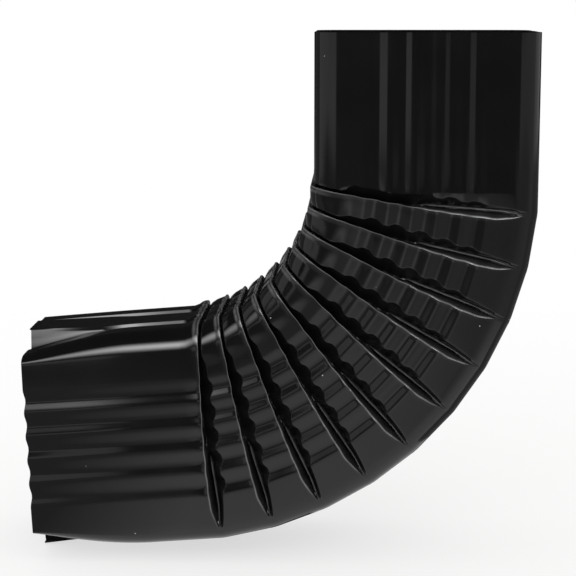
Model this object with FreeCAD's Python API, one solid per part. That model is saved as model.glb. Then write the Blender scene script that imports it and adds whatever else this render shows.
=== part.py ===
"""Corrugated rectangular downspout elbow, folded and pleated from one piece of thin sheet.

The inlet leg is upright, with its mouth at the origin and its axis on Z. The pleated bend turns in the
XZ plane, towards -X, and ends in a straight outlet leg whose last stretch is crimped to fit inside the next
pipe. The throat is the inside of the bend and the heel its outside.
"""
import FreeCAD
import Part
import math
import os

doc = FreeCAD.newDocument("downspout_elbow")
sheet = doc.addObject("Spreadsheet::Sheet", "dimensions")

# Driving dimensions, in millimetres and degrees
DIMENSIONS = [
    ("face_width", 108.0, "wide faces, which lie in the plane of the bend"),
    ("face_depth", 84.0, "narrow faces, at the throat and the heel"),
    ("corner_radius", 9.5, "outside radius of the four long corners"),
    ("sheet_gauge", 0.6, "thickness of the sheet"),
    ("wide_grooves", 5, "corrugations on each wide face"),
    ("wide_pitch", 12.0, "spacing of those corrugations"),
    ("narrow_grooves", 2, "corrugations on each narrow face"),
    ("narrow_pitch", 31.0, "spacing of those corrugations"),
    ("groove_mouth", 7.4, "width of a corrugation at the face"),
    ("groove_floor", 3.4, "width of a corrugation at its bottom"),
    ("groove_depth", 1.7, "depth of a corrugation on the legs"),
    ("inlet_length", 72.5, "straight leg from the mouth to the start of the bend"),
    ("outlet_length", 80.0, "straight leg from the end of the bend to the crimped rim"),
    ("throat_radius", 71.5, "bend axis to the throat face"),
    ("pleat_count", 10, "folds in the bend"),
    ("pleat_angle", 8.55, "turn taken by each fold"),
    ("fold_margin", 8.0, "plain strip between the end of a fold and the heel face"),
    ("fold_depth", 5.5, "depth of a fold at the throat"),
    ("fold_growth", 0.6, "power by which a fold deepens from its heel end"),
    ("shoulder_drop", 0.5, "how far a panel has sunk where its fold begins, at the throat"),
    ("shoulder_sweep", 6.3, "lean of the edge where a panel turns down into its fold, at the throat"),
    ("lip_rise", 0.5, "how far a lip stands proud of the panels"),
    ("lip_sweep", 11.0, "lean of the lip across the valley below it"),
    ("lip_cross", 0.58, "share of a fold's length, from the heel, where its lip is right above the valley"),
    ("undercut", 2.2, "reach of a lip back over its valley at the throat"),
    ("heel_easing", 1.0, "half width of the eased bend where a fold line crosses the heel"),
    ("throat_swell", 0.8, "how far the throat swells towards the bend axis at the middle of the bend"),
    ("swell_growth", 4.0, "power by which that swelling grows from the heel end of a fold"),
    ("crimp_length", 56.0, "stretch of the outlet leg that is drawn in"),
    ("throat_draw", 8.0, "how far the near side of the throat face is drawn in at the rim"),
    ("far_draw", 0.4, "how far the far side of the throat face is drawn in at the rim"),
    ("heel_draw", 9.6, "how far both sides of the heel face are drawn in at the rim"),
    ("crimp_squeeze", 1.5, "how far the wide faces are drawn in at the rim"),
    ("crimp_groove", 2.2, "depth of the wide faces' corrugations at the rim"),
    ("throat_bow", 1.2, "how far the ridge in the middle of the throat face bows out at the rim"),
    ("heel_bow", 3.2, "how far the ridge in the middle of the heel face bows out at the rim"),
    ("dart_depth", 1.2, "depth of the pressed darts beside those ridges, below the drawn-in sides"),
    ("rim_lean", 1.9, "lean of the rim off square, longer at the heel"),
]
for row, (alias, value, meaning) in enumerate(DIMENSIONS, start=1):
    sheet.set("A%d" % row, str(value))
    sheet.setAlias("A%d" % row, alias)
    sheet.set("B%d" % row, meaning)
doc.recompute()

# Steps of a rounded corner, and (place, share) pairs of the crimp from its start to the rim
CORNER_STEPS = 4
CRIMP_STAGES = ((0.0, 0.0), (0.5, 0.3), (1.0, 1.0))

# Share of the corrugations' depth that is left on a shoulder, in a valley and on a lip
SHOULDER_RIB, VALLEY_RIB, LIP_RIB = 1.0, 0.0, 0.3

# Longest mitre in gauges, least doubled-back turn, and how far off its plane a flat facet's corner may lie
MITRE_LIMIT = 2.6
LEAST_TURN = 1e-6
FLATNESS = 1e-6

# Values that follow from the sheet
half_pleat = math.radians(sheet.pleat_angle) / 2
throat_offset = sheet.face_width / 2 + sheet.throat_radius
bend_axis = FreeCAD.Vector(-throat_offset, 0, -sheet.inlet_length)
fold_span = sheet.face_width - sheet.fold_margin
turn = math.radians(sheet.pleat_angle * sheet.pleat_count)


class RimPoint:
    """A corner point of the section: its place on the plain rounded rectangle, and what shapes it.

    across and depth are the place, from the throat to the heel and from the near face to the far one,
    normal is the outward direction there, groove is 1 at a corrugation's bottom and ridge marks the
    stretch of a narrow face between its corrugations, which bows out at the rim.
    """

    def __init__(self, across, depth, normal, groove=0, ridge=False):
        self.across = across
        self.depth = depth
        self.normal = normal
        self.groove = groove
        self.ridge = ridge
        reach = (sheet.face_width / 2 - sheet.fold_margin - across) / fold_span
        self.fold = min(max(reach, 0.0), 1.0)

    def draw(self):
        """How far the crimp moves this point inwards at the rim if it lies on a narrow face or a corner."""
        at_heel = self.normal[0] > 0
        if self.ridge:
            return -sheet.heel_bow if at_heel else -sheet.throat_bow
        throat_draw = sheet.far_draw if self.depth > 0 else sheet.throat_draw
        side_draw = sheet.heel_draw if at_heel else throat_draw
        return side_draw + self.groove * sheet.dart_depth

    def rim_inset(self):
        """The crimp's whole move of this point at the rim, across the section and along its depth."""
        squeeze = sheet.crimp_squeeze + self.groove * sheet.crimp_groove
        return self.draw() * self.normal[0], squeeze * self.normal[1]


def face_points(middle, along, normal, count, pitch):
    """Points of one corrugated face in order: four to a groove, one in each plain strip of a wide face."""
    narrow = normal[1] == 0
    mouth, floor = sheet.groove_mouth / 2, sheet.groove_floor / 2
    reach = (count - 1) / 2 * pitch
    places = []
    for number in range(count):
        centre = number * pitch - reach
        places += [(centre - mouth, 0), (centre - floor, 1), (centre + floor, 1), (centre + mouth, 0)]
    if not narrow:
        strip_middle = (reach + mouth + sheet.face_width / 2 - sheet.corner_radius) / 2
        places = [(-strip_middle, 0)] + places + [(strip_middle, 0)]
    points = []
    for place, groove in places:
        x, y = middle[0] + along[0] * place, middle[1] + along[1] * place
        points.append(RimPoint(x, y, normal, groove, narrow and abs(place) < reach and not groove))
    return points


def corner_points(centre, start_angle):
    """Points of one rounded corner, a quarter turn from start_angle."""
    points = []
    for step in range(CORNER_STEPS + 1):
        angle = start_angle + math.pi / 2 * step / CORNER_STEPS
        normal = (math.cos(angle), math.sin(angle))
        x = centre[0] + sheet.corner_radius * normal[0]
        y = centre[1] + sheet.corner_radius * normal[1]
        points.append(RimPoint(x, y, normal))
    return points


def section_points():
    """The whole section once round: near face, heel, far face, throat, with a corner after each."""
    wide, deep = sheet.face_width / 2, sheet.face_depth / 2
    inner_x, inner_y = wide - sheet.corner_radius, deep - sheet.corner_radius
    ribs_wide = (int(sheet.wide_grooves), sheet.wide_pitch)
    ribs_narrow = (int(sheet.narrow_grooves), sheet.narrow_pitch)
    points = face_points((0, -deep), (1, 0), (0, -1), *ribs_wide)
    points += corner_points((inner_x, -inner_y), -math.pi / 2)
    points += face_points((wide, 0), (0, 1), (1, 0), *ribs_narrow)
    points += corner_points((inner_x, inner_y), 0)
    points += face_points((0, deep), (-1, 0), (0, 1), *ribs_wide)
    points += corner_points((-inner_x, inner_y), math.pi / 2)
    points += face_points((-wide, 0), (0, -1), (-1, 0), *ribs_narrow)
    points += corner_points((-inner_x, -inner_y), math.pi)
    return points


SECTION = section_points()


def outline(rib, crimp=0.0):
    """The section as flat points, its corrugations scaled by rib and its end drawn in by the share crimp."""
    flat = []
    for point in SECTION:
        pressed = (1 - crimp) * point.groove * rib * sheet.groove_depth
        inset_x, inset_y = point.rim_inset()
        x = point.across - pressed * point.normal[0] - crimp * inset_x
        y = point.depth - pressed * point.normal[1] - crimp * inset_y
        flat.append((x, y))
    return flat


def mitre(before, at, after, distance):
    """The corner 'at' of a line through three flat points, moved to its left by distance, as a mitre."""
    ends = []
    for start, end in ((before, at), (at, after)):
        length = math.hypot(end[0] - start[0], end[1] - start[1])
        ends.append(((start[1] - end[1]) / length, (end[0] - start[0]) / length))
    sum_x, sum_y = ends[0][0] + ends[1][0], ends[0][1] + ends[1][1]
    shared = 1 + ends[0][0] * ends[1][0] + ends[0][1] * ends[1][1]
    scale = 1 / max(shared, LEAST_TURN)
    reach = math.hypot(sum_x, sum_y) * scale
    scale *= min(1.0, MITRE_LIMIT / reach)
    return at[0] + distance * sum_x * scale, at[1] + distance * sum_y * scale


def inner_outline(flat):
    """The same section on the inside of the sheet."""
    count = len(flat)
    return [mitre(flat[i - 1], flat[i], flat[(i + 1) % count], sheet.sheet_gauge) for i in range(count)]


def fold_line(point):
    """One fold where it passes this point, as (run, depth) pairs: shoulder, valley and lip.

    run is measured downstream from the fold's own radial plane and depth inwards from the panels.
    """
    fold = point.fold
    shoulder = (-sheet.heel_easing - sheet.shoulder_sweep * fold, sheet.shoulder_drop * fold)
    lean = fold / sheet.lip_cross
    lip_run = sheet.heel_easing * (1 - fold) + sheet.lip_sweep * (math.sqrt(lean) - lean)
    valley_run = min(0.0, lip_run + sheet.undercut)
    valley = (valley_run, sheet.fold_depth * fold ** sheet.fold_growth)
    return [shoulder, valley, (lip_run, -sheet.lip_rise * math.sqrt(fold))]


def inner_fold_line(point):
    """The same fold on the inside of the sheet, between the lip before it and the shoulder after it."""
    radius = throat_offset + point.across
    pitch = 2 * radius * math.tan(half_pleat)
    line = fold_line(point)
    before = (line[2][0] - pitch, line[2][1])
    after = (line[0][0] + pitch, line[0][1])
    chain = [before] + line + [after]
    return [mitre(chain[i - 1], chain[i], chain[i + 1], sheet.sheet_gauge) for i in (1, 2, 3)]


def bend_point(angle, radius, depth, run=0.0):
    """A place in the bend: at an angle round its axis, at a radius and run downstream from that plane."""
    x = radius * math.cos(angle) - run * math.sin(angle)
    z = -radius * math.sin(angle) - run * math.cos(angle)
    return bend_axis + FreeCAD.Vector(x, depth, z)


def leg_station(flat, angle, run, lean=0.0):
    """A section across a straight leg, run downstream from the bend's own start or end plane."""
    slope = math.tan(math.radians(lean))
    return [bend_point(angle, throat_offset + x, y, run + slope * x) for x, y in flat]


def fold_stations(number, inside):
    """The three closed lines of one fold: shoulder, valley and lip, on the outside or inside of the sheet."""
    angle = half_pleat * (2 * number + 1)
    swell = sheet.throat_swell * math.sin(math.pi * angle / turn)
    stations = []
    for stage, rib in enumerate((SHOULDER_RIB, VALLEY_RIB, LIP_RIB)):
        flat = outline(rib)
        if inside:
            flat = inner_outline(flat)
        station = []
        for point, (x, y) in zip(SECTION, flat):
            run, depth = inner_fold_line(point)[stage] if inside else fold_line(point)[stage]
            depth -= sheet.sheet_gauge if inside else 0
            radius = (throat_offset + x) / math.cos(half_pleat) - abs(run) * math.tan(half_pleat)
            radius -= depth * point.normal[0] + swell * point.fold ** sheet.swell_growth
            station.append(bend_point(angle, radius, y - depth * point.normal[1], run))
        stations.append(station)
    return stations


def skin_stations(inside):
    """All the closed lines of one side of the sheet, from the mouth to the crimped rim."""
    side = inner_outline if inside else list
    stations = [leg_station(side(outline(1.0)), 0, -sheet.inlet_length)]
    for number in range(int(sheet.pleat_count)):
        stations += fold_stations(number, inside)
    for place, crimp in CRIMP_STAGES:
        run = sheet.outlet_length - sheet.crimp_length * (1 - place)
        stations.append(leg_station(side(outline(1.0, crimp)), turn, run, sheet.rim_lean * place))
    return stations


def facet(*corners):
    """A flat facet of the sheet through its corners."""
    return Part.Face(Part.makePolygon(list(corners) + [corners[0]]))


def strip(upstream, downstream):
    """The sheet between two neighbouring lines, creased along the shorter diagonal where it isn't flat."""
    facets = []
    for i in range(len(upstream)):
        a, b = upstream[i - 1], upstream[i]
        c, d = downstream[i], downstream[i - 1]
        normal = (b - a).cross(d - a).normalize()
        if abs((c - a).dot(normal)) < FLATNESS:
            facets.append(facet(a, b, c, d))
        elif (c - a).Length < (d - b).Length:
            facets += [facet(a, b, c), facet(a, c, d)]
        else:
            facets += [facet(a, b, d), facet(b, c, d)]
    return facets


def cut_edge(outer, inner):
    """The sheet's cut edge at an open end, between its outside and inside lines."""
    loops = [Part.makePolygon(line + line[:1]) for line in (outer, inner)]
    return Part.makeFace(loops, "Part::FaceMakerBullseye")


outer_lines = skin_stations(inside=False)
inner_lines = skin_stations(inside=True)
facets = [cut_edge(outer_lines[end], inner_lines[end]) for end in (0, -1)]
for lines in (outer_lines, inner_lines):
    for upstream, downstream in zip(lines, lines[1:]):
        facets += strip(upstream, downstream)
shell = Part.makeShell(facets)
shell.sewShape()

elbow = doc.addObject("Part::Feature", "elbow_shell")
elbow.Label = "elbow_shell"
elbow.Shape = Part.Solid(shell)
elbow.Placement = FreeCAD.Placement()
doc.recompute()

for item in doc.Objects:
    if "Invalid" in item.State or "Error" in item.State:
        raise RuntimeError("%s failed" % item.Label)
if elbow.Shape.isNull() or not elbow.Shape.isValid():
    raise RuntimeError("%s has no sound shape" % elbow.Label)

os.makedirs("parts", exist_ok=True)
elbow.Shape.exportStep("parts/%s.step" % elbow.Label)
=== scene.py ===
"""Corrugated downspout elbow in black enamelled sheet, dressed for a pale studio.

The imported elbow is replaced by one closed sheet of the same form, with rounded corrugations, rolled fold
lips and a crimped rim. Shapes are worked out in millimetres in the elbow's own frame: the inlet mouth is at
the origin, the bend turns towards -X, and the near face looks along -Y to the camera.
"""
import logging
import math
from dataclasses import dataclass, field, fields, replace
from enum import Enum

import bpy
import numpy as np
from bpy.types import Material, Node, NodeSocket, NodeTree, Object, World
from mathutils import Matrix, Vector


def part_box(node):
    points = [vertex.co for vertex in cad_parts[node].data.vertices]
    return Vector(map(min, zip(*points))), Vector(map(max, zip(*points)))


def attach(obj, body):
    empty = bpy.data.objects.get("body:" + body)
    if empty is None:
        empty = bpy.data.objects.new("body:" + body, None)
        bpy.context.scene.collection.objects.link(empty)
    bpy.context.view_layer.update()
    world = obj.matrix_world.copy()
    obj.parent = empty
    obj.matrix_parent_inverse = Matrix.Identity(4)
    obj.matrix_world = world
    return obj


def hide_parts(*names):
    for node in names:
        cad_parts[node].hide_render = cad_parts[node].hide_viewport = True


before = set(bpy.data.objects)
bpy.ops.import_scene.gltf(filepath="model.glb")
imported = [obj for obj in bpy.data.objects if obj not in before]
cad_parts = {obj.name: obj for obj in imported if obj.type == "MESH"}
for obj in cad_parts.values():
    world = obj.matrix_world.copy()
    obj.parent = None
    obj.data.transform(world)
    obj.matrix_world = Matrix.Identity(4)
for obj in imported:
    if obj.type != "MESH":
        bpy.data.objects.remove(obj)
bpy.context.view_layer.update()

LOG = logging.getLogger("downspout_elbow")
Pair = tuple[float, float]
Triple = tuple[float, float, float]
Stops = tuple[Pair, ...]
MM = 0.001
FLOOR_GAP = 0.3 * MM
# Largest share of a side that a rounded corner may take
ROUNDING_LIMIT = 0.42
# A normal with this much of one axis belongs to the flat of a face
ON_FLAT = 0.99
# Numbers of the mix node's colour sockets: two inputs and the output
MIX_FIRST, MIX_SECOND, MIX_RESULT = 6, 7, 2
NODE = "elbow_shell"
# Point attribute with the share of painted highlight along the fold lips
LIP_HIGHLIGHT_MARK = "painted_lip_highlight"


class Side(Enum):
    """The four faces of the pipe, each with the angle of its outward normal in degrees."""

    NEAR = -90
    HEEL = 0
    FAR = 90
    THROAT = 180

    @property
    def narrow(self) -> bool:
        """Whether this is one of the two narrow faces."""
        return self in (Side.HEEL, Side.THROAT)


class Tone(Enum):
    """How bright a studio surface looks in the enamel, as a share of white."""

    UNLIT = 0.02
    DIM = 0.04
    SHADED = 0.14
    FAINT = 0.2
    SOFT = 0.38
    PALE = 0.6


def linear(hex_code: str) -> tuple[float, float, float, float]:
    """Turns an sRGB hex colour into the linear values that shaders use.

    Args:
        hex_code: Colour as "#rrggbb".

    Returns:
        Linear red, green and blue, and an alpha of 1.
    """
    shares = [int(hex_code[i:i + 2], 16) / 255 for i in (1, 3, 5)]
    values = [s / 12.92 if s <= 0.04045 else ((s + 0.055) / 1.055) ** 2.4 for s in shares]
    return (*values, 1.0)


WHITE = linear("#ffffff")


def smoothstep(low: float, high: float, value: np.ndarray) -> np.ndarray:
    """Eases from 0 at low to 1 at high.

    Args:
        low: Where the step starts.
        high: Where it ends.
        value: Places to read it at.

    Returns:
        The eased shares.
    """
    share = np.clip((value - low) / (high - low), 0.0, 1.0)
    return share * share * (3 - 2 * share)


def add_node(tree: NodeTree, kind: str, inputs: dict | None = None, **settings: object) -> Node:
    """Adds a node with its settings, and links or fills its inputs.

    Args:
        tree: Node tree that takes the node.
        kind: Blender's type name of the node, without the prefix that all shader nodes share.
        inputs: Input name or number, with an output socket to link or a value to set.
        settings: Attributes of the node.

    Returns:
        The new node.
    """
    node = tree.nodes.new("ShaderNode" + kind)
    for name, value in settings.items():
        setattr(node, name, value)
    for name, value in (inputs or {}).items():
        if isinstance(value, NodeSocket):
            tree.links.new(value, node.inputs[name])
        else:
            node.inputs[name].default_value = value
    return node


def empty_tree(owner: Material | World) -> NodeTree:
    """Gives a material or world an empty node tree.

    Args:
        owner: The material or world.

    Returns:
        Its tree.
    """
    owner.use_nodes = True
    owner.node_tree.nodes.clear()
    return owner.node_tree


@dataclass(frozen=True)
class BakedEnamel:
    """Polyester enamel baked on thin aluminium coil: a smooth black gloss that mirrors the room softly.

    The eye sees the floor and the soft box in it more than its own colour. The paint lies in a faint
    orange peel, handling has dulled it in patches, and a few specks of dust have settled on it. Paler paint
    along the fold lips is a painted highlight.
    """

    name: str = "black_baked_enamel_on_aluminium"
    colour: str = "#0a0a0b"
    worn_colour: str = "#0f0f10"
    dust_colour: str = "#9a9a96"
    # Painted highlight: paler paint on the fold lips and ridges stands in for light glinting on their crests
    highlight_colour: str = "#737375"
    ior: float = 1.5
    gloss_roughness: float = 0.085
    dull_roughness: float = 0.13
    highlight_patch_mm: float = 7.0
    highlight_detail: float = 2.0
    highlight_range: Pair = (0.3, 0.65)
    highlight_least: float = 0.55
    patch_mm: float = 38.0
    patch_detail: float = 3.0
    patch_grain: float = 0.55
    patch_range: Pair = (0.35, 0.7)
    peel_mm: float = 1.3
    peel_detail: float = 1.0
    peel_grain: float = 0.4
    peel_height_mm: float = 0.0036
    # Real dust is finer: the specks are drawn this coarse so that they show
    speck_spacing_mm: float = 13.0
    speck_radius_mm: float = 0.34
    speck_share: float = 0.26

    def material(self) -> Material:
        """Builds the enamel as a node material.

        Returns:
            The new material.
        """
        made = bpy.data.materials.new(self.name)
        tree = empty_tree(made)
        place = add_node(tree, "TexCoord").outputs["Object"]
        patches = add_node(tree, "TexNoise", {
            "Vector": place, "Scale": 1 / (self.patch_mm * MM), "Detail": self.patch_detail,
            "Roughness": self.patch_grain}).outputs["Fac"]
        roughness = add_node(tree, "MapRange", {
            "Value": patches, "From Min": self.patch_range[0], "From Max": self.patch_range[1],
            "To Min": self.gloss_roughness, "To Max": self.dull_roughness})
        colour = linear(self.colour)
        for share, over in ((patches, self.worn_colour), (self.painted_highlight(tree, place), self.highlight_colour),
                            (self.specks(tree, place), self.dust_colour)):
            colour = add_node(tree, "Mix", {
                0: share, MIX_FIRST: colour, MIX_SECOND: linear(over)}, data_type="RGBA").outputs[MIX_RESULT]
        peel = add_node(tree, "TexNoise", {
            "Vector": place, "Scale": 1 / (self.peel_mm * MM), "Detail": self.peel_detail,
            "Roughness": self.peel_grain})
        bump = add_node(tree, "Bump", {
            "Height": peel.outputs["Fac"], "Strength": 1.0, "Distance": self.peel_height_mm * MM})
        enamel = add_node(tree, "BsdfPrincipled", {
            "Base Color": colour, "Roughness": roughness.outputs["Result"], "IOR": self.ior,
            "Normal": bump.outputs["Normal"]})
        add_node(tree, "OutputMaterial", {"Surface": enamel.outputs["BSDF"]})
        return made

    def painted_highlight(self, tree: NodeTree, place: NodeSocket) -> NodeSocket:
        """Finds where the fold lips get a painted highlight of paler paint, more in some stretches than in
        others.

        Args:
            tree: Node tree of the enamel.
            place: Object coordinates.

        Returns:
            A socket with the share of painted highlight.
        """
        lips = add_node(tree, "Attribute", attribute_name=LIP_HIGHLIGHT_MARK)
        uneven = add_node(tree, "TexNoise", {
            "Vector": place, "Scale": 1 / (self.highlight_patch_mm * MM), "Detail": self.highlight_detail})
        least, most = self.highlight_range
        share = add_node(tree, "MapRange", {
            "Value": uneven.outputs["Fac"], "From Min": least, "From Max": most,
            "To Min": self.highlight_least})
        both = add_node(tree, "Math", {
            0: lips.outputs["Fac"], 1: share.outputs["Result"]}, operation="MULTIPLY")
        return both.outputs[0]

    def specks(self, tree: NodeTree, place: NodeSocket) -> NodeSocket:
        """Draws scattered dust: a small dot in a share of the cells of a Voronoi pattern.

        Args:
            tree: Node tree of the enamel.
            place: Object coordinates.

        Returns:
            A socket that is 1 on a speck and 0 elsewhere.
        """
        cells = add_node(tree, "TexVoronoi", {"Vector": place, "Scale": 1 / (self.speck_spacing_mm * MM)})
        radius = self.speck_radius_mm / self.speck_spacing_mm
        near = add_node(tree, "Math", {0: cells.outputs["Distance"], 1: radius}, operation="LESS_THAN")
        chance = add_node(tree, "SeparateColor", {"Color": cells.outputs["Color"]})
        chosen = add_node(tree, "Math", {
            0: chance.outputs["Red"], 1: self.speck_share}, operation="LESS_THAN")
        both = add_node(tree, "Math", {0: near.outputs[0], 1: chosen.outputs[0]}, operation="MULTIPLY")
        return both.outputs[0]


@dataclass(frozen=True)
class PaperSweep:
    """Matt white background paper: a pale floor that keeps a faint shadow of the elbow."""

    name: str = "matt_white_paper"
    colour: str = "#f4f4f2"
    near_glow: float = 0.6
    shadow_reach: float = 0.12
    white_reach: float = 0.9

    def material(self) -> Material:
        """Builds the paper, which seen rays take partly as plain white.

        Returns:
            The new material.
        """
        made = bpy.data.materials.new(self.name)
        tree = empty_tree(made)
        matt = add_node(tree, "BsdfDiffuse", {"Color": linear(self.colour)})
        white = add_node(tree, "Emission", {"Color": WHITE, "Strength": 1.0})
        place = add_node(tree, "TexCoord").outputs["Object"]
        away = add_node(tree, "VectorMath", {0: place}, operation="LENGTH")
        glow = add_node(tree, "MapRange", {
            "Value": away.outputs["Value"], "From Min": self.shadow_reach, "From Max": self.white_reach,
            "To Min": self.near_glow, "To Max": 1.0}, interpolation_type="SMOOTHSTEP")
        share = add_node(tree, "Math", {0: seen_rays(tree), 1: glow.outputs["Result"]}, operation="MULTIPLY")
        paper = add_node(tree, "MixShader", {0: share.outputs[0], 1: matt.outputs[0], 2: white.outputs[0]})
        add_node(tree, "OutputMaterial", {"Surface": paper.outputs[0]})
        return made


def seen_rays(tree: NodeTree) -> NodeSocket:
    """Finds the rays that show the background: straight from the camera, mirrored or passed through.

    Args:
        tree: Node tree that needs them.

    Returns:
        A socket that is 1 for those rays and 0 for the rest.
    """
    path = add_node(tree, "LightPath")
    mirrored = add_node(tree, "Math", {
        0: path.outputs["Is Camera Ray"], 1: path.outputs["Is Glossy Ray"]}, operation="MAXIMUM")
    passed = add_node(tree, "Math", {
        0: mirrored.outputs[0], 1: path.outputs["Is Transmission Ray"]}, operation="MAXIMUM")
    return passed.outputs[0]


@dataclass(frozen=True)
class RimLine:
    """The section's points once round: their places and normals, and how each is pressed."""

    across: np.ndarray
    depth: np.ndarray
    normal_x: np.ndarray
    normal_y: np.ndarray
    groove: np.ndarray
    press: np.ndarray
    ridge: np.ndarray
    crown: np.ndarray


@dataclass(frozen=True)
class CrossSection:
    """The pipe's corrugated rectangle with rounded corners, in millimetres."""

    face_width: float
    face_depth: float = 84.0
    corner_radius: float = 11.5
    wide_grooves: int = 5
    wide_pitch: float = 12.0
    narrow_grooves: int = 2
    narrow_pitch: float = 31.0
    wide_mouth: float = 10.2
    wide_floor: float = 2.0
    wide_press: float = 0.58
    narrow_mouth: float = 8.2
    narrow_floor: float = 6.74
    narrow_press: float = 1.5
    throat_crown: float = 1.7
    heel_crown: float = 0.6
    wide_steps: int = 92
    narrow_steps: tuple[int, ...] = (6, 3, 6, 3, 8, 3, 6, 3, 6)
    corner_steps: int = 9

    @staticmethod
    def pressed(place: np.ndarray, count: int, pitch: float, mouth: float, floor: float) -> np.ndarray:
        """Reads the corrugations of one face, which have flat floors and plain sloping walls.

        Args:
            place: Distances along the face from its middle.
            count: Corrugations on the face.
            pitch: Their spacing.
            mouth: Width of one.
            floor: Width of its floor.

        Returns:
            1 at the bottom of a corrugation and 0 between them.
        """
        total = np.zeros_like(place)
        for number in range(count):
            centre = (number - (count - 1) / 2) * pitch
            total += 1 - np.clip((2 * np.abs(place - centre) - floor) / (mouth - floor), 0.0, 1.0)
        return total

    def narrow_places(self, half_flat: float) -> np.ndarray:
        """Spaces the points of a narrow face, with points on the edges of its corrugations' steep walls.

        Args:
            half_flat: Half the width of its flat.

        Returns:
            Distances along the face from its middle, without the last one.
        """
        middle, mouth, floor = self.narrow_pitch / 2, self.narrow_mouth / 2, self.narrow_floor / 2
        edges = [middle - mouth, middle - floor, middle + floor, middle + mouth, half_flat]
        knots = [-edge for edge in reversed(edges)] + edges
        return np.concatenate([np.linspace(start, end, steps, endpoint=False)
                               for start, end, steps in zip(knots, knots[1:], self.narrow_steps)])

    def face(self, side: Side) -> RimLine:
        """Walks one face and the corner after it.

        Args:
            side: Face to walk.

        Returns:
            Its points, without the next face's first one.
        """
        angle = math.radians(side.value)
        normal = np.array([math.cos(angle), math.sin(angle)])
        along = np.array([-normal[1], normal[0]])
        if side.narrow:
            length, reach = self.face_depth, self.face_width
            mouth, floor = self.narrow_mouth, self.narrow_floor
            count, pitch, press = self.narrow_grooves, self.narrow_pitch, self.narrow_press
        else:
            length, reach = self.face_width, self.face_depth
            mouth, floor = self.wide_mouth, self.wide_floor
            count, pitch, press = self.wide_grooves, self.wide_pitch, self.wide_press
        half_flat = length / 2 - self.corner_radius
        even = np.linspace(-half_flat, half_flat, self.wide_steps, endpoint=False)
        place = self.narrow_places(half_flat) if side.narrow else even
        steps, rounding = len(place), np.zeros(self.corner_steps)
        flat = np.outer(place, along) + normal * reach / 2
        turned = angle + np.linspace(0, math.pi / 2, self.corner_steps, endpoint=False)
        arc = np.stack([np.cos(turned), np.sin(turned)], axis=1)
        corner = along * half_flat + normal * (reach / 2 - self.corner_radius) + arc * self.corner_radius
        groove = np.concatenate([self.pressed(place, count, pitch, mouth, floor), rounding])
        ridge_half = (pitch - mouth) / 2
        ridge = (1 - smoothstep(ridge_half, pitch / 2, np.abs(place))) * side.narrow
        bulge = np.zeros(steps) if side.narrow else (place / half_flat) ** 2
        points = np.concatenate([flat, corner])
        crown = np.where(points[:, 0] < 0, self.throat_crown, self.heel_crown)
        normals = np.concatenate([np.tile(normal, (steps, 1)), arc])
        return RimLine(points[:, 0], points[:, 1], normals[:, 0], normals[:, 1], groove, groove * press,
                       np.concatenate([ridge, rounding]), crown * np.concatenate([bulge, np.abs(arc[:, 1])]))

    def walk(self) -> RimLine:
        """Walks the whole section: near face, heel, far face and throat."""
        faces = [self.face(side) for side in Side]
        return RimLine(*(np.concatenate([getattr(face, item.name) for face in faces])
                         for item in fields(RimLine)))


@dataclass(frozen=True)
class FoldShape:
    """Sizes of one pleat in millimetres, with shares of the way from the heel, 0, to the throat, 1.

    The shoulder's drop, the gutter's reach and the trough's depth are given for the first and the last
    pleat. Closing, opening and pinching are given by the shares where they start and end.
    """

    # The slit of the fold
    margin: float = 5.5
    heel_easing: float = 1.0
    begun_share: float = 0.15
    depth: float = 8.2
    growth: float = 0.55
    undercut: float = 2.2
    open_return: float = 1.5
    closing: Pair = (0.3, 0.85)
    valley_round: float = 0.8
    valley_rib: float = 0.05
    # The shoulder above it, scalloped by the corrugations
    shoulder_drop: Pair = (1.6, 0.6)
    shoulder_sweep: float = 3.0
    shoulder_lead: float = 2.3
    shoulder_round: float = 0.2
    scallop: float = 1.7
    scallop_sink: float = 1.2
    # The ridge in the open stretch near the heel, with its gutter and trough
    opening: Pair = (0.44, 0.54)
    opening_shift: float = 0.11
    heel_edge: float = 0.4
    tip_gap: float = 0.4
    tip_lead: float = 1.1
    tip_growth: float = 0.7
    ridge_foot: float = 0.75
    ridge_sink: float = 0.15
    ridge_round: float = 0.3
    ridge_rib: float = 0.3
    gutter_depth: float = 4.8
    gutter_reach: Pair = (0.5, 0.22)
    trough_depth: Pair = (2.6, 6.5)
    wall_shares: Pair = (0.1, 0.2)
    # The lip below it and the bead on the lip
    lip_rise: float = 0.45
    lip_sweep: float = 11.0
    lip_cross: float = 0.58
    lip_round: float = 0.85
    lip_wave: float = 0.13
    lip_wave_length: float = 10.5
    bead_foot: float = 0.12
    foot_run: float = 1.0
    tail_run: float = 2.2
    # The throat, where the fold is pinched shut between swelled panels
    pinching: Pair = (0.81, 0.88)
    throat_gap: float = 1.3
    throat_rise: float = 1.9
    throat_depth: float = 0.14
    throat_ease: float = 0.8
    throat_bead: float = 1.2
    panel_swell: float = 0.8
    tail_swell: float = 0.9
    # Points on the roundings of the shoulder, the valley, the ridge and the trough
    round_steps: tuple[int, int, int, int] = (4, 3, 3, 2)


def rounded(before: np.ndarray, at: np.ndarray, after: np.ndarray, reach: float | np.ndarray,
            steps: int) -> list[np.ndarray]:
    """Rounds the corner of a line through three points with a short curve.

    Args:
        before: Point before the corner, one row for each place round the section.
        at: The corner.
        after: Point after the corner.
        reach: How far from the corner the curve starts, once or for each place.
        steps: Points on the curve.

    Returns:
        The curve's points in order.
    """
    ends = []
    reach = np.reshape(reach, (-1, 1))
    for other in (before, after):
        way = other - at
        length = np.linalg.norm(way, axis=1, keepdims=True)
        ends.append(at + way / length * np.minimum(reach, ROUNDING_LIMIT * length))
    curve = []
    for t in np.linspace(0, 1, steps):
        curve.append((1 - t) ** 2 * ends[0] + 2 * t * (1 - t) * at + t * t * ends[1])
    return curve


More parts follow.
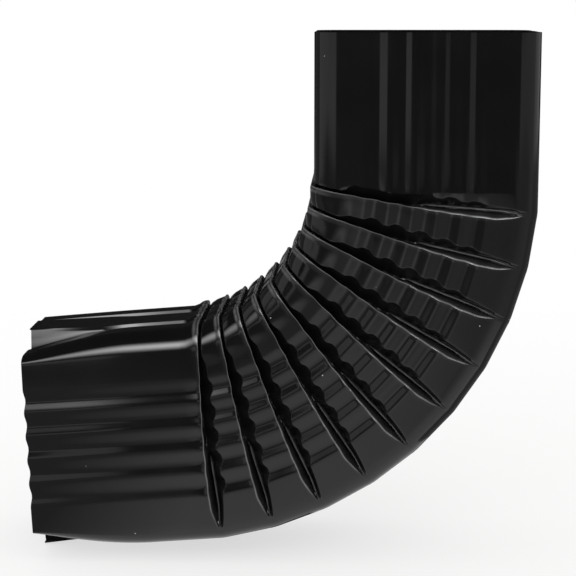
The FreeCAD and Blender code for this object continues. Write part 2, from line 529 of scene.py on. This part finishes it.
@dataclass(frozen=True)
class FoldLine:
    """One line of a pleat round the section.

    It holds its (run, depth) pairs, its share of the corrugations, how strong its painted highlight is, and
    whether the inside of the sheet follows it.
    """

    pairs: np.ndarray
    rib: float = 1.0
    rub: float | np.ndarray = 0.0
    inside: bool = False


@dataclass
class ElbowShell:
    """The whole elbow as one folded sheet: inlet leg, pleated bend and crimped outlet leg."""

    section: CrossSection
    finish: BakedEnamel
    fold: FoldShape = FoldShape()
    # The legs and the bend
    gauge: float = 0.6
    inlet_length: float = 72.5
    inlet_end: float = 8.0
    outlet_length: float = 80.0
    outlet_start: float = 3.0
    throat_radius: float = 71.5
    pleat_count: int = 10
    pleat_angle: float = 8.55
    panel_shares: tuple[float, ...] = (0.5, 0.93)
    bend_press: float = 1.5
    throat_fade: float = 0.85
    throat_swell: float = 0.8
    swell_growth: float = 4.0
    # The die's pressed band above the first pleat: its lines are runs with shares of the corrugations
    die_band: float = 3.6
    die_tilt: float = 1.8
    die_tilt_share: float = 0.2
    die_rib: float = 0.7
    die_margin: float = 0.5
    die_lines: Stops = ((-4.0, 1.0), (-0.8, 0.8))
    die_shares: tuple[float, ...] = (0.9,)
    first_gap: float = 4.4
    # The corrugations next to the throat, which deepen along the outlet
    throat_press: float = 0.65
    press_share: Pair = (0.4, 0.66)
    press_run: Pair = (5.0, 60.0)
    # The crimped end and its darts
    crimp_length: float = 56.0
    crimp_growth: float = 1.74
    throat_draw: float = 8.0
    far_draw: float = 0.4
    heel_draw: float = 9.6
    throat_bow: float = 1.2
    heel_bow: float = 3.2
    crimp_squeeze: float = 1.5
    crimp_groove: float = 0.85
    groove_growth: float = 0.6
    dart_depth: float = 1.2
    dart_width: float = 0.36
    dart_growth: float = 1.6
    dart_start: float = 9.0
    rim_lean: float = 1.9
    rim_pull: float = 0.8
    # Painted highlight across the lip, at its foot and on the ridge
    lip_highlights: tuple[float, ...] = (0.1, 0.8, 1.0, 0.7, 0.1)
    foot_highlight: float = 0.7
    edge_rub: float = 0.8
    highlight_start: float = 0.12
    # The mesh
    inlet_steps: int = 7
    outlet_steps: int = 26
    inner_every: int = 3
    sharp_angle: float = 32.0
    seed: int = 11
    lines: list[np.ndarray] = field(default_factory=list)
    highlights: list[np.ndarray] = field(default_factory=list)
    inner_numbers: list[int] = field(default_factory=list)
    rim: RimLine = field(init=False)
    half: float = field(init=False)
    turn: float = field(init=False)
    offset: float = field(init=False)
    share: np.ndarray = field(init=False)
    at_throat: np.ndarray = field(init=False)
    phases: np.ndarray = field(init=False)

    def __post_init__(self) -> None:
        """Walks the section and works out what the bend needs."""
        self.rim = self.section.walk()
        self.half = math.radians(self.pleat_angle) / 2
        self.turn = 2 * self.half * self.pleat_count
        self.offset = self.section.face_width / 2 + self.throat_radius
        span = self.section.face_width - self.fold.margin
        reach = self.section.face_width / 2 - self.fold.margin - self.rim.across
        self.share = np.clip(reach / span, 0.0, 1.0)
        self.at_throat = np.maximum(0.0, -self.rim.normal_x) ** 2
        self.phases = np.random.default_rng(self.seed).uniform(0, 2 * math.pi, self.pleat_count)

    def bend_points(self, angle: float, radius: np.ndarray, depth: np.ndarray,
                    run: np.ndarray) -> np.ndarray:
        """Places points round the bend axis.

        Args:
            angle: Angle of the plane from the start of the bend.
            radius: Distances from the bend axis.
            depth: Places across the elbow, from the near face to the far one.
            run: Distances downstream from that plane.

        Returns:
            One row of x, y and z for each point.
        """
        x = radius * math.cos(angle) - run * math.sin(angle) - self.offset
        z = -radius * math.sin(angle) - run * math.cos(angle) - self.inlet_length
        return np.stack([x, depth, z], axis=1)

    def flat_outline(self, rib: float | np.ndarray, crimp: float = 0.0) -> tuple[np.ndarray, np.ndarray]:
        """Gives the section with its corrugations pressed and its end drawn in.

        Args:
            rib: Share of the corrugations' depth.
            crimp: Share of the crimp at the rim.

        Returns:
            The places across and along the depth.
        """
        rim = self.rim
        pressed = (1 - crimp) * rim.press * rib
        at_heel = rim.normal_x > 0
        throat_draw = np.where(rim.depth > 0, self.far_draw, self.throat_draw)
        side_draw = np.where(at_heel, self.heel_draw, throat_draw) + rim.groove * self.dart_depth
        bow = np.where(at_heel, self.heel_bow, self.throat_bow)
        draw = (1 - rim.ridge) * side_draw - rim.ridge * bow
        groove = self.crimp_groove + self.groove_growth * (self.share - 0.5)
        squeeze = self.crimp_squeeze + rim.groove * groove
        across = rim.across - (pressed + crimp * draw) * rim.normal_x
        depth = self.tapered(crimp) - (pressed + crimp * squeeze) * rim.normal_y
        return across, depth - rim.crown * np.sign(rim.normal_y)

    def tapered(self, crimp: float) -> np.ndarray:
        """Gathers the darts' walls on the narrow faces, which stay steep and run out to a point up the leg.

        Args:
            crimp: Share of the crimp at the rim.

        Returns:
            The places along the depth.
        """
        rim, section = self.rim, self.section
        foot = section.narrow_pitch / 2
        wall = section.narrow_mouth / 2
        dart = self.dart_width + (1 - self.dart_width) * crimp ** self.dart_growth
        gathered = max(dart, (1 - crimp) ** self.dart_start)
        off = np.abs(rim.depth)
        inner = off * (foot - wall * gathered) / (foot - wall)
        moved = np.where(off < foot - wall, inner, foot - (foot - off) * gathered)
        on_dart = (np.abs(rim.normal_x) > ON_FLAT) & (off < foot)
        return np.where(on_dart, np.sign(rim.depth) * moved, rim.depth)

    def leg_line(self, angle: float, run: float, rib: float | np.ndarray = 1.0, crimp: float = 0.0,
                 lean: float = 0.0) -> np.ndarray:
        """Gives a section across a straight leg.

        Args:
            angle: The leg's angle round the bend axis.
            run: Distance downstream from the bend's own start or end plane.
            rib: Share of the corrugations' depth.
            crimp: Share of the crimp.
            lean: Lean of the section off square, in degrees.

        Returns:
            The section's points.
        """
        across, depth = self.flat_outline(rib, crimp)
        leaned = run + math.tan(math.radians(lean)) * across - crimp * self.rim_pull * self.rim.groove
        return self.bend_points(angle, self.offset + across, depth, leaned)

    def opened(self, number: int) -> np.ndarray:
        """Gives how far a pleat's fold is open round the section, less far on the last pleats."""
        earlier = self.fold.opening_shift * (number / (self.pleat_count - 1)) ** 2
        return 1 - smoothstep(*self.fold.opening, self.share + earlier)

    def fold_corners(self, number: int) -> dict[str, np.ndarray]:
        """Gives the corners of one pleat's fold as (run, depth) pairs round the section.

        Towards the heel the fold opens: a thin ridge stands in it, with a gutter above and a trough below.

        Args:
            number: The pleat, counted from the inlet.

        Returns:
            Its shoulder, valley, ridge, trough and lip.
        """
        fold, share = self.fold, self.share
        begun = smoothstep(0.0, fold.begun_share, share)
        pinched = smoothstep(*fold.pinching, share)
        opened = self.opened(number)
        lean = share / fold.lip_cross
        along = number / (self.pleat_count - 1)
        trough_depth, gutter_reach, shoulder_drop = (
            first + (last - first) * along
            for first, last in (fold.trough_depth, fold.gutter_reach, fold.shoulder_drop))
        wave = fold.lip_wave * begun * (1 - pinched) * np.sin(
            2 * math.pi * self.rim.across / fold.lip_wave_length + self.phases[number])
        swept = np.sqrt(begun) * fold.lip_sweep * (np.sqrt(lean) - lean)
        lip_run = fold.heel_easing * (1 - share) + swept + wave
        tip_run = fold.heel_easing - fold.tip_gap
        ridge_run = tip_run - (tip_run + fold.heel_edge) * begun
        scallop = fold.scallop * smoothstep(0.0, 1.0, self.rim.groove)
        lead = fold.heel_easing + fold.shoulder_lead + scallop + fold.shoulder_sweep * share
        widened = np.clip(share / gutter_reach, 0.0, 1.0) ** fold.tip_growth
        shoulder_run = (ridge_run - fold.tip_lead) * (1 - widened) - lead * widened
        shoulder_run += (lip_run - fold.throat_gap - shoulder_run) * pinched
        closed = smoothstep(*fold.closing, share)
        undercut = fold.undercut * (1 - self.at_throat)
        valley_run = lip_run - fold.open_return + (fold.open_return + undercut) * closed
        valley_run += (ridge_run - fold.ridge_foot - valley_run) * opened
        slit_depth = fold.depth * share ** fold.growth
        valley_depth = slit_depth * (1 - opened) + fold.gutter_depth * widened * opened
        valley_depth += fold.scallop_sink * scallop * (1 - pinched) * widened
        valley_depth *= 1 - (1 - fold.throat_depth) * self.at_throat
        shoulder = np.stack([shoulder_run, shoulder_drop * share * (1 - pinched)], axis=1)
        valley = np.stack([valley_run, valley_depth], axis=1)
        lip_rise = fold.lip_rise * np.sqrt(share) * (1 - fold.throat_ease * self.at_throat)
        lip = np.stack([lip_run, -lip_rise - fold.throat_ease * fold.throat_rise * self.at_throat], axis=1)
        spread = opened[:, None]
        ridge = np.stack([ridge_run, fold.ridge_sink * begun], axis=1)
        ridge = valley + (lip - valley) * fold.wall_shares[0] * (1 - spread) + (ridge - valley) * spread
        trough_run = ridge_run + np.minimum(fold.ridge_foot, (lip_run - ridge_run) / 2)
        trough = np.stack([trough_run, trough_depth * begun], axis=1)
        trough = valley + (lip - valley) * fold.wall_shares[1] * (1 - spread) + (trough - valley) * spread
        return {"shoulder": shoulder, "valley": valley, "ridge": ridge, "trough": trough, "lip": lip}

    def fold_place(self, number: int, line: FoldLine) -> np.ndarray:
        """Places one line of a pleat on the bend.

        Args:
            number: The pleat.
            line: The line.

        Returns:
            The line's points.
        """
        angle = self.half * (2 * number + 1)
        run, sunk = line.pairs[:, 0], line.pairs[:, 1]
        rib = 1 - (1 - line.rib) * smoothstep(0.0, self.fold.begun_share, self.share)
        across, depth = self.flat_outline(rib * (1 - self.throat_fade * self.at_throat))
        swell = self.throat_swell * math.sin(math.pi * angle / self.turn) * self.share ** self.swell_growth
        eased = np.sqrt(run ** 2 + self.fold.heel_easing ** 2)
        radius = (self.offset + across) / math.cos(self.half) - eased * math.tan(self.half)
        radius -= sunk * self.rim.normal_x + swell
        return self.bend_points(angle, radius, depth - sunk * self.rim.normal_y, run)

    def add(self, line: np.ndarray, inside: bool = False, rub: float | np.ndarray = 0.0) -> None:
        """Adds a line of the outside.

        Args:
            line: Its points.
            inside: Whether the inside of the sheet follows it too.
            rub: How strong its painted highlight is, once for the line or for each point.
        """
        if inside:
            self.inner_numbers.append(len(self.lines))
        self.lines.append(line)
        self.highlights.append(rub + np.zeros(len(line)))

    def add_inlet(self) -> None:
        """Adds the straight inlet leg."""
        for number, run in enumerate(np.linspace(-self.inlet_length, -self.inlet_end, self.inlet_steps)):
            self.add(self.leg_line(0.0, run), inside=number % self.inner_every == 0)

    def approach(self, number: int, shoulder: np.ndarray) -> list[FoldLine]:
        """Gives the panel before a pleat.

        Args:
            number: The pleat.
            shoulder: Its shoulder.

        Returns:
            The panel's lines.
        """
        pitch = 2 * (self.offset + self.rim.across) * math.sin(self.half)
        lines, rib, shares = [], self.bend_press, self.panel_shares
        if number == 0:
            lip_run = self.fold_corners(number)["lip"][:, 0]
            pinched = smoothstep(*self.fold.pinching, self.share)
            gap = self.first_gap + (self.fold.throat_gap - self.first_gap) * pinched
            crease = np.minimum(self.die_band - pitch / 2, lip_run - gap - self.die_margin)
            shoulder[:, 0] = np.maximum(shoulder[:, 0], crease + self.die_margin)
            tilt = math.tan(math.radians(self.die_tilt)) * smoothstep(0.0, self.die_tilt_share, self.share)
            rib, shares = self.die_rib, self.die_shares
            for past, pressed in (*self.die_lines, (0.0, rib)):
                pairs = np.stack([crease + past, 0 * crease], axis=1)
                lines.append(FoldLine(pairs, pressed, inside=not lines))
            shoulder[:, 1] += (shoulder[:, 0] - crease) * (tilt * np.abs(self.rim.normal_y))
        else:
            for line in self.bead_foot(number - 1):
                lines.append(replace(line, pairs=line.pairs - [1, 0] * pitch[:, None]))
        start = lines[-1].pairs
        swell = self.fold.panel_swell * self.at_throat * self.fold.throat_rise
        swelled = np.stack([0 * swell, swell], axis=1)
        for share in shares:
            lines.append(FoldLine(start + (shoulder - start) * share - swelled * share * (1 - share), rib))
        return lines

    def bead_foot(self, number: int) -> list[FoldLine]:
        """Gives the lines where the bead of a pleat's lip runs out into the panel below it.

        Args:
            number: The pleat.

        Returns:
            The two lines, in the pleat's own frame.
        """
        fold, lip = self.fold, self.fold_corners(number)["lip"]
        widened = fold.throat_bead * smoothstep(*fold.pinching, self.share)
        swelled = -fold.throat_rise * self.at_throat
        rise = fold.bead_foot * fold.lip_rise * (1 - self.at_throat)
        foot = np.stack([lip[:, 0] + fold.foot_run + widened, swelled - rise], axis=1)
        tail = np.stack([lip[:, 0] + fold.tail_run + widened, fold.tail_swell * swelled], axis=1)
        # The bead's foot at the throat carries a painted highlight
        return [FoldLine(foot, self.bend_press, self.foot_highlight * self.at_throat),
                FoldLine(tail, self.bend_press, inside=True)]

    def add_pleat(self, number: int) -> None:
        """Adds the panel before a pleat, its fold and its rolled lip.

        Args:
            number: The pleat.
        """
        fold = self.fold
        shoulder, valley, ridge, trough, lip = self.fold_corners(number).values()
        lines = self.approach(number, shoulder)
        foot = self.bead_foot(number)[0].pairs
        bead = fold.lip_round + fold.throat_bead * smoothstep(*fold.pinching, self.share)
        # Painted highlight on the lip bead and the open ridge's edge, faded in from the heel
        begun = smoothstep(0.0, self.highlight_start, self.share)
        edge_rub = self.edge_rub * self.opened(number) * begun
        lip_highlights = [rub * begun for rub in self.lip_highlights]
        panel = lines[-1]
        shoulder_steps, valley_steps, ridge_steps, trough_steps = fold.round_steps
        for before, at, after, reach, rib, highlights in (
                (panel.pairs, shoulder, valley, fold.shoulder_round, panel.rib, [0.0] * shoulder_steps),
                (shoulder, valley, ridge, fold.valley_round, fold.valley_rib, [0.0] * valley_steps),
                (valley, ridge, trough, fold.ridge_round, fold.ridge_rib, [edge_rub] * ridge_steps),
                (ridge, trough, lip, fold.ridge_round, fold.ridge_rib, [0.0] * trough_steps),
                (trough, lip, foot, bead, self.bend_press, lip_highlights)):
            middle = len(highlights) // 2
            for step, pairs in enumerate(rounded(before, at, after, reach, len(highlights))):
                lines.append(FoldLine(pairs, rib, highlights[step], step == middle))
        for line in lines:
            self.add(self.fold_place(number, line), line.inside, line.rub)

    def add_outlet(self) -> None:
        """Adds the straight outlet leg with its crimped end."""
        last = self.pleat_count - 1
        for line in self.bead_foot(last):
            self.add(self.fold_place(last, line), line.inside, line.rub)
        deepened = self.throat_press * smoothstep(*self.press_share, self.share)
        for number, run in enumerate(np.linspace(-self.outlet_start, self.outlet_length, self.outlet_steps)):
            place = max(0.0, 1 - (self.outlet_length - run) / self.crimp_length)
            rib = 1 + deepened * smoothstep(*self.press_run, run)
            line = self.leg_line(self.turn, run, rib, place ** self.crimp_growth, self.rim_lean * place)
            self.add(line, inside=number % self.inner_every == 1)

    def inner_skin(self, outer: np.ndarray) -> np.ndarray:
        """Sets the outside in by the sheet's gauge.

        Args:
            outer: All lines of the outside, line by line.

        Returns:
            The chosen lines on the inside of the sheet.
        """
        round_way = np.roll(outer, -1, axis=1) - np.roll(outer, 1, axis=1)
        down_way = np.gradient(outer, axis=0)
        normal = np.cross(down_way, round_way)
        normal /= np.linalg.norm(normal, axis=2, keepdims=True)
        return (outer - self.gauge * normal)[self.inner_numbers]

    def build(self) -> Object:
        """Builds the closed sheet and dresses it.

        Returns:
            The elbow as a Blender object.
        """
        self.add_inlet()
        for number in range(self.pleat_count):
            self.add_pleat(number)
        self.add_outlet()
        last = len(self.lines) - 1
        self.inner_numbers = sorted({0, last, *self.inner_numbers})
        outer = np.stack(self.lines)
        inner = self.inner_skin(outer)
        count = outer.shape[1]
        points = np.concatenate([outer.reshape(-1, 3), inner.reshape(-1, 3)]) * MM
        grid = np.arange(outer.shape[0] * count).reshape(-1, count)
        inner_grid = grid[-1, -1] + 1 + np.arange(inner.shape[0] * count).reshape(-1, count)
        faces = [strip(upper, lower) for upper, lower in zip(grid, grid[1:])]
        faces += [strip(lower, upper) for upper, lower in zip(inner_grid, inner_grid[1:])]
        faces += [strip(inner_grid[0], grid[0]), strip(grid[-1], inner_grid[-1])]
        mesh = bpy.data.meshes.new("elbow_sheet")
        mesh.from_pydata(points.tolist(), [], np.concatenate(faces).tolist())
        # Stores the painted highlight for the enamel to read
        rub = mesh.attributes.new(LIP_HIGHLIGHT_MARK, "FLOAT", "POINT")
        rub.data.foreach_set("value", np.concatenate([*self.highlights, np.zeros(inner.size // 3)]))
        mesh.shade_smooth()
        mesh.set_sharp_from_angle(angle=math.radians(self.sharp_angle))
        mesh.materials.append(self.finish.material())
        piece = bpy.data.objects.new("elbow_sheet", mesh)
        bpy.context.scene.collection.objects.link(piece)
        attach(piece, "root")
        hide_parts(NODE)
        return piece


def strip(upper: np.ndarray, lower: np.ndarray) -> np.ndarray:
    """Joins two closed lines by a strip of quads that face outwards.

    Args:
        upper: Point numbers of the upstream line.
        lower: Point numbers of the downstream line.

    Returns:
        Four point numbers for each quad.
    """
    return np.stack([upper, lower, np.roll(lower, -1), np.roll(upper, -1)], axis=1)


@dataclass(frozen=True)
class Card:
    """A flat studio surface, given by its four corners in metres."""

    name: str
    corners: tuple[Triple, ...]

    def build(self, material: Material) -> Object:
        """Builds the card as a stage piece.

        Args:
            material: Its finish.

        Returns:
            The card.
        """
        mesh = bpy.data.meshes.new(self.name)
        mesh.from_pydata(self.corners, [], [(0, 1, 2, 3)])
        mesh.materials.append(material)
        card = bpy.data.objects.new(self.name, mesh)
        bpy.context.scene.collection.objects.link(card)
        return card


def level_card(name: str, across: Pair, away: Pair, level: float) -> Card:
    """Lays out a level card.

    Args:
        name: Its name.
        across: Where it starts and ends in x.
        away: Where it starts and ends in y.
        level: Its height.

    Returns:
        The card.
    """
    (left, right), (near, far) = across, away
    return Card(name, ((left, near, level), (right, near, level), (right, far, level), (left, far, level)))


def hide_from_all_but_gloss(card: Object) -> None:
    """Leaves a studio card to be seen only as a reflection."""
    for ray in ("camera", "diffuse", "transmission", "volume_scatter", "shadow"):
        setattr(card, "visible_" + ray, False)


@dataclass
class Studio:
    """Pale floor, plain soft light, the room that the enamel mirrors, and the camera."""

    floor_level: float
    paper: PaperSweep = PaperSweep()
    # The room, in metres
    floor_half: float = 40.0
    room_half: float = 2.2
    room_height: float = 2.2
    patch_start: float = 0.046
    side_fall: float = 0.25
    # Edges of a dim card under the elbow: a painted shadow, standing in for its contact shadow in
    # reflections
    shade_edges: Triple = (-0.21, -0.05, -0.02)
    wall_gap: Pair = (-0.55, 0.76)
    # The front floor in three stretches, each with tones at distances from the elbow, and a lit pool on it
    left_edge: Pair = (-0.163, 0.0)
    right_edge: Pair = (0.2, 0.09)
    edge_softness: float = 0.04
    left_stops: Stops = ((0.3, 0.22), (0.7, 0.26), (1.0, 0.08))
    middle_stops: Stops = (
        (0.05, 0.95), (0.14, 0.84), (0.22, 0.58), (0.3, 0.4), (0.42, 0.33), (0.6, 0.31), (1.25, 0.2),
        (1.4, 0.03))
    right_stops: Stops = ((0.05, 0.3), (0.14, 0.34), (0.25, 0.38), (0.47, 0.35), (0.9, 0.22))
    pool_place: Pair = (-0.045, -0.52)
    pool_half: Pair = (0.115, 0.38)
    pool_gain: float = 2.8
    # The light
    ambient: float = 0.95
    key_place: Triple = (-0.1, -1.5, 0.68)
    key_aim: Triple = (-0.08, 0.0, -0.15)
    key_half: Pair = (1.5, 0.78)
    key_core: float = 0.6
    key_glow: float = 10.0
    lamp_radiance: float = 2.0
    # The camera
    lens_mm: float = 107.3
    sensor_mm: float = 36.0
    camera_place: Triple = (-0.03348, -0.85774, 0.01322)
    camera_yaw: float = -0.040
    camera_pitch: float = 0.164

    def build(self) -> None:
        """Builds the floor, the light, the room and the camera."""
        self.build_floor()
        self.build_world()
        self.build_room()
        self.build_key()
        self.build_camera()

    def build_floor(self) -> None:
        """Lays the paper just under the elbow."""
        wide = (-self.floor_half, self.floor_half)
        level_card("floor", wide, wide, self.floor_level).build(self.paper.material())

    def build_world(self) -> None:
        """Surrounds the scene with white, a little softer where it only lights things."""
        world = bpy.data.worlds.new("white_surround")
        tree = empty_tree(world)
        strength = add_node(tree, "MapRange", {
            "Value": seen_rays(tree), "To Min": self.ambient, "To Max": 1.0})
        white = add_node(tree, "Background", {"Color": WHITE, "Strength": strength.outputs["Result"]})
        add_node(tree, "OutputWorld", {"Surface": white.outputs[0]})
        bpy.context.scene.world = world

    def card_material(self, tone: Tone) -> Material:
        """Gives a plain card of one tone.

        Args:
            tone: How bright it looks.

        Returns:
            The new material.
        """
        made = bpy.data.materials.new("card_" + tone.name.lower())
        tree = empty_tree(made)
        glow = add_node(tree, "Emission", {"Color": WHITE, "Strength": tone.value})
        add_node(tree, "OutputMaterial", {"Surface": glow.outputs[0]})
        return made

    def tone_ramp(self, tree: NodeTree, share: NodeSocket, stops: Stops) -> NodeSocket:
        """Gives a tone that changes with the distance in front of the elbow.

        Args:
            tree: Node tree that takes the ramp.
            share: The distance as a share of the room.
            stops: Distances with their tones.

        Returns:
            The tone.
        """
        ramp = add_node(tree, "ValToRGB", {"Fac": share})
        elements = ramp.color_ramp.elements
        elements.remove(elements[-1])
        for number, (distance, tone) in enumerate(stops):
            stop = elements[0] if number == 0 else elements.new(distance / self.room_half)
            stop.position = distance / self.room_half
            stop.color = (tone, tone, tone, 1.0)
        return ramp.outputs["Color"]

    def front_floor_material(self) -> Material:
        """Gives the floor in front of the elbow its fall-off, with darker sides and a pool of light.

        Returns:
            The new material.
        """
        made = bpy.data.materials.new("front_floor_tone")
        tree = empty_tree(made)
        place = add_node(tree, "TexCoord").outputs["Object"]
        axes = add_node(tree, "SeparateXYZ", {0: place})
        away = add_node(tree, "MapRange", {
            "Value": axes.outputs["Y"], "From Min": 0.0, "From Max": -self.room_half}).outputs["Result"]
        tone = self.tone_ramp(tree, away, self.middle_stops)
        sides = ((self.left_edge, self.left_stops), (self.right_edge, self.right_stops))
        for (edge, spread), stops in sides:
            moved = add_node(tree, "Math", {
                0: axes.outputs["Y"], 1: spread, 2: axes.outputs["X"]}, operation="MULTIPLY_ADD")
            soft = math.copysign(self.edge_softness, edge)
            side = add_node(tree, "MapRange", {
                "Value": moved.outputs[0], "From Min": edge - soft, "From Max": edge + soft})
            tone = add_node(tree, "Mix", {
                0: side.outputs["Result"], MIX_FIRST: tone, MIX_SECOND: self.tone_ramp(tree, away, stops)},
                data_type="RGBA").outputs[MIX_RESULT]
        shifted = add_node(tree, "VectorMath", {
            0: place, 1: (*self.pool_place, self.floor_level + MM)}, operation="SUBTRACT")
        scaled = add_node(tree, "VectorMath", {
            0: shifted.outputs[0], 1: (*self.pool_half, 1.0)}, operation="DIVIDE")
        pool = add_node(tree, "TexGradient", {"Vector": scaled.outputs[0]}, gradient_type="SPHERICAL")
        strength = add_node(tree, "MapRange", {
            "Value": pool.outputs["Fac"], "To Min": 1.0, "To Max": self.pool_gain})
        glow = add_node(tree, "Emission", {"Color": tone, "Strength": strength.outputs["Result"]})
        add_node(tree, "OutputMaterial", {"Surface": glow.outputs[0]})
        return made

    def upright(self, name: str, start: Pair, end: Pair) -> Card:
        """Stands a wall over the line between two floor points."""
        low, top = self.floor_level, self.floor_level + self.room_height
        return Card(name, ((*start, low), (*end, low), (*end, top), (*start, top)))

    def build_room(self) -> None:
        """Stands the studio's walls round the scene, which show only as reflections."""
        half, low = self.room_half, self.floor_level + MM
        start, fall, (gap_left, gap_right) = self.patch_start, self.side_fall, self.wall_gap
        left, right, near = self.shade_edges
        wide = (-half, half)
        toned = {tone: self.card_material(tone) for tone in Tone}
        cards = (
            (self.upright("front_left", (-half, -half), (gap_left, -half)), toned[Tone.PALE]),
            (self.upright("front_middle", (gap_left, -half), (gap_right, -half)), toned[Tone.DIM]),
            (self.upright("front_right", (gap_right, -half), (half, -half)), toned[Tone.SOFT]),
            (self.upright("back_wall", (-half, half), (half, half)), toned[Tone.UNLIT]),
            (self.upright("left_wall", (-half, -half), (-half, 0)), toned[Tone.PALE]),
            (self.upright("left_back", (-half, 0), (-half, half)), toned[Tone.SHADED]),
            (self.upright("right_wall", (half, -half), (half, 0)), toned[Tone.SOFT]),
            (self.upright("right_back", (half, 0), (half, half)), toned[Tone.PALE]),
            (level_card("ceiling", wide, wide, self.floor_level + self.room_height), toned[Tone.UNLIT]),
            (level_card("front_floor", wide, (-start, -half), low), self.front_floor_material()),
            (level_card("back_floor", (-half, start), (start, half), low), toned[Tone.FAINT]),
            (level_card("side_floor", (start, half), (-start, fall), low), toned[Tone.FAINT]),
            (level_card("far_floor", (start, half), (fall, half), low), toned[Tone.SHADED]),
            # Painted shadow: the dim card under the elbow stands in for the shade the elbow casts on the
            # floor there
            (level_card("painted_contact_shadow", (left, right), (near, start), low), toned[Tone.DIM]),
        )
        for card, material in cards:
            hide_from_all_but_gloss(card.build(material))

    def key_material(self) -> Material:
        """Gives the soft box's cloth, hot in the middle and dying away to its edges.

        Returns:
            The new material.
        """
        made = bpy.data.materials.new("soft_box_cloth")
        tree = empty_tree(made)
        place = add_node(tree, "TexCoord").outputs["Object"]
        scaled = add_node(tree, "VectorMath", {0: place, 1: (*self.key_half, 1.0)}, operation="DIVIDE")
        spot = add_node(tree, "TexGradient", {"Vector": scaled.outputs[0]}, gradient_type="QUADRATIC_SPHERE")
        strength = add_node(tree, "MapRange", {
            "Value": spot.outputs["Fac"], "From Max": self.key_core, "To Max": self.key_glow})
        glow = add_node(tree, "Emission", {"Color": WHITE, "Strength": strength.outputs["Result"]})
        add_node(tree, "OutputMaterial", {"Surface": glow.outputs[0]})
        return made

    def build_key(self) -> None:
        """Hangs the large soft box above the camera: its lamp, and the cloth that the enamel mirrors."""
        wide, tall = self.key_half
        soft_box = level_card("soft_box", (-wide, wide), (-tall, tall), 0.0).build(self.key_material())
        hide_from_all_but_gloss(soft_box)
        lamp = bpy.data.lights.new("key_lamp", "AREA")
        lamp.shape = "RECTANGLE"
        lamp.size, lamp.size_y = wide, tall
        lamp.energy = self.lamp_radiance * math.pi * wide * tall
        key = bpy.data.objects.new("key_lamp", lamp)
        key.visible_glossy = False
        bpy.context.scene.collection.objects.link(key)
        aim = Vector(self.key_aim) - Vector(self.key_place)
        for hung in (soft_box, key):
            hung.location = self.key_place
            hung.rotation_euler = aim.to_track_quat("-Z", "Y").to_euler()

    def build_camera(self) -> None:
        """Stands the camera where the photograph was taken from."""
        data = bpy.data.cameras.new("camera")
        data.sensor_width = self.sensor_mm
        data.lens = self.lens_mm
        yaw, pitch = self.camera_yaw, self.camera_pitch
        level = math.cos(pitch)
        forward = Vector((math.sin(yaw) * level, math.cos(yaw) * level, -math.sin(pitch)))
        right = Vector((math.cos(yaw), -math.sin(yaw), 0.0))
        up = right.cross(forward)
        camera = bpy.data.objects.new("camera", data)
        turned = Matrix((right, up, -forward)).transposed()
        camera.matrix_world = Matrix.Translation(self.camera_place) @ turned.to_4x4()
        bpy.context.scene.collection.objects.link(camera)
        bpy.context.scene.camera = camera


def main() -> None:
    """Builds the elbow and the studio."""
    logging.basicConfig(level=logging.INFO, format="%(message)s")
    bpy.context.scene.view_settings.view_transform = "Standard"
    low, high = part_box(NODE)
    section = CrossSection(face_width=2 * high.x / MM)
    elbow = ElbowShell(section, BakedEnamel()).build()
    LOG.info("%s: %d faces", elbow.name, len(elbow.data.polygons))
    Studio(floor_level=low.z - FLOOR_GAP).build()
    LOG.info("studio built on a floor at %.4f m", low.z)


if __name__ == "__main__":
    main()
